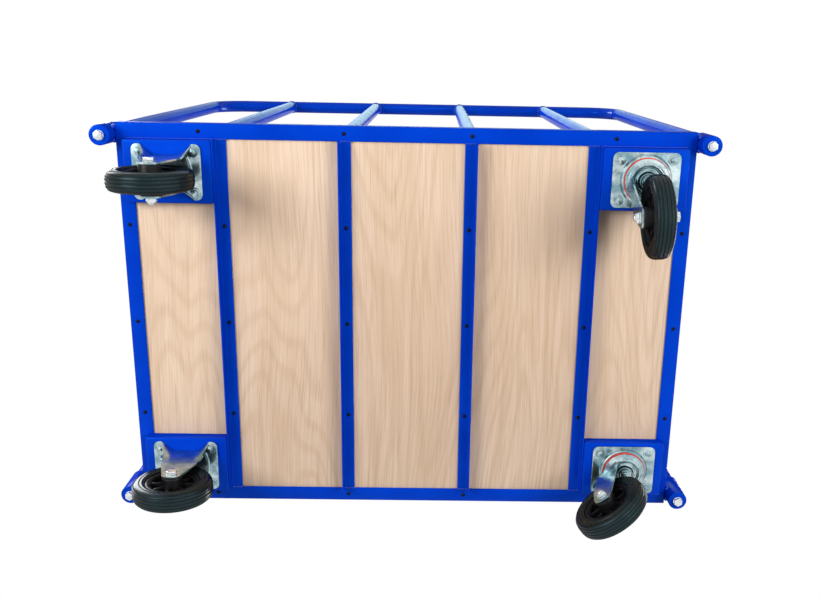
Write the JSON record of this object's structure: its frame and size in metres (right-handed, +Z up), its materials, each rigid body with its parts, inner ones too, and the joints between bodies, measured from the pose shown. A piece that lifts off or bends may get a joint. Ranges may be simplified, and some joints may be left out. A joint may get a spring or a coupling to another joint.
{
  "type": "long goods trolley",
  "caption": "Platform trolley for long goods: plywood deck in an angle-steel frame, bolted-in tubular side hoops with upright bars, fixed castors at one end and swivel castors at the other.",
  "frame": {"origin": "on the floor, under the middle of the deck", "axes": "+X along the deck towards the swivel castors, +Y across the deck to the left side, +Z up"},
  "size_m": [1.2306, 0.81, 1.27],
  "materials": {
    "blue_paint": "glossy blue powder coat on steel",
    "plywood": "bare plywood face, grain across the deck",
    "zinc": "bright zinc-plated pressed steel",
    "rubber": "black ribbed rubber",
    "black_plastic": "black moulded plastic",
    "red_seal": "red dust seal"
  },
  "bodies": {
    "chassis": {"deck_panel": "plywood", "side_rail_left": "blue_paint", "side_rail_right": "blue_paint", "end_rail_fixed": "blue_paint", "end_rail_swivel": "blue_paint", "cross_member_1": "blue_paint", "cross_member_2": "blue_paint", "cross_member_3": "blue_paint", "cross_member_4": "blue_paint", "castor_pan_fixed_left": "blue_paint", "castor_pan_fixed_right": "blue_paint", "castor_pan_swivel_left": "blue_paint", "castor_pan_swivel_right": "blue_paint", "corner_socket_fixed_left": "blue_paint", "corner_socket_fixed_right": "blue_paint", "corner_socket_swivel_left": "blue_paint", "corner_socket_swivel_right": "blue_paint", "socket_bolt_fixed_left": "zinc", "socket_bolt_fixed_right": "zinc", "socket_bolt_swivel_left": "zinc", "socket_bolt_swivel_right": "zinc", "hoop_tube_left": "blue_paint", "hoop_tube_right": "blue_paint", "hoop_lower_bar_left": "blue_paint", "hoop_lower_bar_right": "blue_paint", "hoop_bar_left_1": "blue_paint", "hoop_bar_left_2": "blue_paint", "hoop_bar_left_3": "blue_paint", "hoop_bar_left_4": "blue_paint", "hoop_bar_right_1": "blue_paint", "hoop_bar_right_2": "blue_paint", "hoop_bar_right_3": "blue_paint", "hoop_bar_right_4": "blue_paint", "fixed_bracket_left": "zinc", "fixed_bracket_right": "zinc", "fixed_axle_left": "zinc", "fixed_axle_right": "zinc", "fixed_axle_nut_left": "zinc", "fixed_axle_nut_right": "zinc", "swivel_plate_left": "zinc", "swivel_plate_right": "zinc", "swivel_kingpin_left": "zinc", "swivel_kingpin_right": "zinc", "swivel_seal_left": "red_seal", "swivel_seal_right": "red_seal"},
    "left_fixed_wheel": {"fixed_rim_left": "black_plastic", "fixed_tyre_left": "rubber"},
    "right_fixed_wheel": {"fixed_rim_right": "black_plastic", "fixed_tyre_right": "rubber"},
    "left_swivel": {"swivel_fork_left": "zinc", "swivel_axle_left": "zinc", "swivel_axle_nut_left": "zinc"},
    "right_swivel": {"swivel_fork_right": "zinc", "swivel_axle_right": "zinc", "swivel_axle_nut_right": "zinc"},
    "left_swivel_wheel": {"swivel_rim_left": "black_plastic", "swivel_tyre_left": "rubber"},
    "right_swivel_wheel": {"swivel_rim_right": "black_plastic", "swivel_tyre_right": "rubber"}
  },
  "joints": [
    {"name": "left_fixed_spin", "type": "hinge", "parent": "chassis", "child": "left_fixed_wheel", "pos_m": [-0.4707, 0.3127, 0.08], "axis": [0, 1, 0], "continuous": true},
    {"name": "right_fixed_spin", "type": "hinge", "parent": "chassis", "child": "right_fixed_wheel", "pos_m": [-0.4707, -0.3127, 0.08], "axis": [0, 1, 0], "continuous": true},
    {"name": "left_swivel_turn", "type": "hinge", "parent": "chassis", "child": "left_swivel", "pos_m": [0.4707, 0.3127, 0.1765], "axis": [0, 0, 1], "continuous": true},
    {"name": "right_swivel_turn", "type": "hinge", "parent": "chassis", "child": "right_swivel", "pos_m": [0.4707, -0.3127, 0.1765], "axis": [0, 0, 1], "continuous": true},
    {"name": "left_swivel_spin", "type": "hinge", "parent": "left_swivel", "child": "left_swivel_wheel", "pos_m": [0.42757, 0.3452, 0.08], "axis": [-0.6018, -0.7986, 0], "continuous": true},
    {"name": "right_swivel_spin", "type": "hinge", "parent": "right_swivel", "child": "right_swivel_wheel", "pos_m": [0.47353, -0.25877, 0.08], "axis": [-0.9986, 0.0523, 0], "continuous": true}
  ]
}
